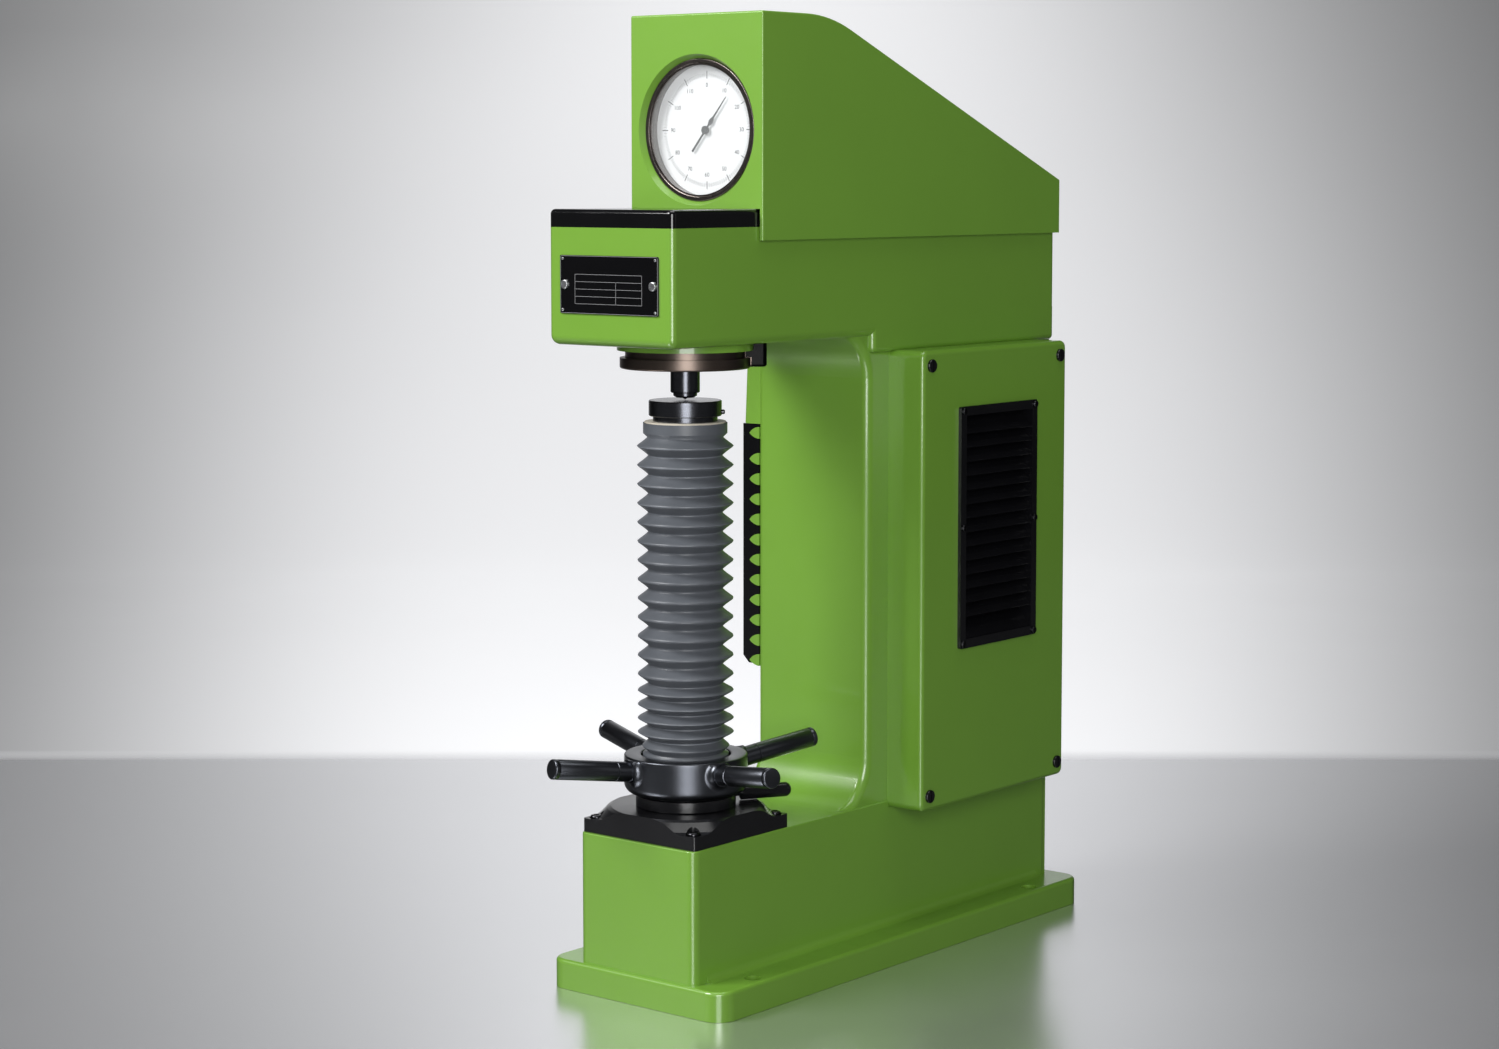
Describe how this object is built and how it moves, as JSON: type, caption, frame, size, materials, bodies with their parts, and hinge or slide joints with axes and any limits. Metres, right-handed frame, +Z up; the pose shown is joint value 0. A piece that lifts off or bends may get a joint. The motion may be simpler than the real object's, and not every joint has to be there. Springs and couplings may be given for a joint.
{
  "type": "hardness testing machine",
  "caption": "Bench hardness tester: C-shaped casting with round dial, indenter, anvil on a bellows-covered screw, spoked handwheel and a hidden motor-driven weight load.",
  "frame": {"origin": "on the bench under the test axis, on the flat underside of the base", "axes": "+Z up along the test axis, -Y to the operator, +X to the electrics box"},
  "size_m": [0.3108, 0.7234, 1],
  "materials": {
    "green_paint": "satin paint over filled casting",
    "green_hood": "satin paint on sheet",
    "black_paint": "gloss black",
    "black_plastic": "moulded black",
    "plate_black": "bare black plate",
    "black_steel": "blackened steel",
    "bright_steel": "turned",
    "zinc_steel": "zinc plated",
    "chrome": "polished",
    "bellows_rubber": "matt grey",
    "bronze": "dull bronze",
    "cast_weight": "painted iron",
    "dial_white": "white enamel",
    "dial_glass": "clear",
    "dial_black": "black",
    "die_cast": "die cast",
    "board_green": "circuit board"
  },
  "bodies": {
    "frame": {"frame_casting": "green_paint", "hood": "green_hood", "head_top_cover": "black_paint", "nameplate": "plate_black", "nameplate_screws": "zinc_steel", "side_box_body": "green_hood", "side_box_cover": "green_hood", "box_cover_screws": "black_steel", "vent_grille": "black_plastic", "grille_screws": "zinc_steel", "left_vent_cover": "black_plastic", "small_cover_screws": "zinc_steel", "rear_cover": "green_hood", "screw_flange": "black_paint", "flange_screws": "zinc_steel", "screw_key": "bright_steel", "guide_sleeve": "bronze", "lower_race": "bright_steel", "bearing_balls": "bright_steel", "spindle_bush": "bronze", "fulcrum_pin": "bright_steel", "fulcrum_bracket": "cast_weight", "gear_motor": "die_cast", "motor_bracket": "zinc_steel", "push_rod_guide": "cast_weight", "damper_cylinder": "die_cast", "dial_bridge": "cast_weight", "dial_case": "dial_black", "circuit_board": "board_green", "transformer": "cast_weight", "power_entry": "black_plastic"},
    "lock": {"lock_ring": "black_steel", "lock_lever": "black_steel"},
    "handwheel": {"handwheel_hub": "black_paint", "handwheel_spokes": "black_plastic", "screw_nut": "bronze", "upper_race": "bright_steel"},
    "lift": {"elevating_screw": "bright_steel", "bellows": "bellows_rubber", "bellows_top_ring": "bright_steel", "anvil_collar": "black_steel", "anvil": "bright_steel", "anvil_set_screw": "black_steel"},
    "spindle": {"spindle": "bright_steel", "measuring_arm": "black_steel", "indenter_holder": "bright_steel", "indenter_set_screw": "black_steel", "indenter": "bright_steel"},
    "lever": {"load_lever": "black_steel"},
    "weights": {"weight_hanger": "bright_steel", "weight_stack": "cast_weight"},
    "cam": {"loading_cam": "bright_steel"},
    "push_rod": {"push_rod": "bright_steel"},
    "damper_piston": {"damper_rod": "chrome"},
    "plunger": {"dial_plunger": "bright_steel"},
    "bezel": {"dial_bezel": "dial_black", "dial_glass": "dial_glass", "dial_face": "dial_white"},
    "pointer": {"pointer": "dial_black"},
    "rocker": {"power_rocker": "black_plastic"}
  },
  "joints": [
    {"name": "handwheel_spin", "type": "hinge", "parent": "frame", "child": "handwheel", "pos_m": [0, 0, 0.226], "axis": [0, 0, 1], "range_deg": [0, 6300]},
    {"name": "screw_lift", "type": "slide", "parent": "frame", "child": "lift", "axis": [0, 0, 1], "range_m": [-0.14, 0], "deforming": ["bellows"]},
    {"name": "lock_turn", "type": "hinge", "parent": "frame", "child": "lock", "pos_m": [0, 0, 0.2003], "axis": [0, 0, 1], "range_deg": [0, 30]},
    {"name": "spindle_travel", "type": "slide", "parent": "frame", "child": "spindle", "axis": [0, 0, 1], "range_m": [0, 0.0008]},
    {"name": "plunger_travel", "type": "slide", "parent": "frame", "child": "plunger", "axis": [0, 0, 1], "range_m": [0, 0.0008]},
    {"name": "pointer_spin", "type": "hinge", "parent": "frame", "child": "pointer", "pos_m": [0, 0.03, 0.8827], "axis": [0, 1, 0], "range_deg": [0, 1440]},
    {"name": "bezel_turn", "type": "hinge", "parent": "frame", "child": "bezel", "pos_m": [0, 0.03, 0.8827], "axis": [0, 1, 0], "range_deg": [-180, 180]},
    {"name": "cam_turn", "type": "hinge", "parent": "frame", "child": "cam", "pos_m": [0, 0.33, 0.56], "axis": [1, 0, 0], "range_deg": [-150, 0]},
    {"name": "push_rod_slide", "type": "slide", "parent": "frame", "child": "push_rod", "axis": [0, 0, 1], "range_m": [-0.005, 0]},
    {"name": "lever_tilt", "type": "hinge", "parent": "frame", "child": "lever", "pos_m": [0, -0.048, 0.755], "axis": [1, 0, 0], "range_deg": [-0.75888, 0]},
    {"name": "weight_drop", "type": "slide", "parent": "frame", "child": "weights", "axis": [0, 0, 1], "range_m": [-0.00645, 0]},
    {"name": "damper_slide", "type": "slide", "parent": "frame", "child": "damper_piston", "axis": [0, 0, 1], "range_m": [-0.00733, 0]},
    {"name": "rocker_tilt", "type": "hinge", "parent": "frame", "child": "rocker", "pos_m": [0.09075, 0.519, 0.241], "axis": [1, 0, 0], "range_deg": [-8, 8]}
  ],
  "couplings": [
    {"joint": "screw_lift", "follows": "handwheel_spin", "m_per_rad": -0.0012732},
    {"joint": "plunger_travel", "follows": "spindle_travel", "ratio": 1},
    {"joint": "pointer_spin", "follows": "spindle_travel", "rad_per_m": 31416},
    {"joint": "cam_turn", "follows": "weight_drop", "rad_per_m": 405.57},
    {"joint": "push_rod_slide", "follows": "weight_drop", "ratio": 0.77459},
    {"joint": "lever_tilt", "follows": "weight_drop", "rad_per_m": 2.0492},
    {"joint": "damper_slide", "follows": "weight_drop", "ratio": 1.1352}
  ]
}
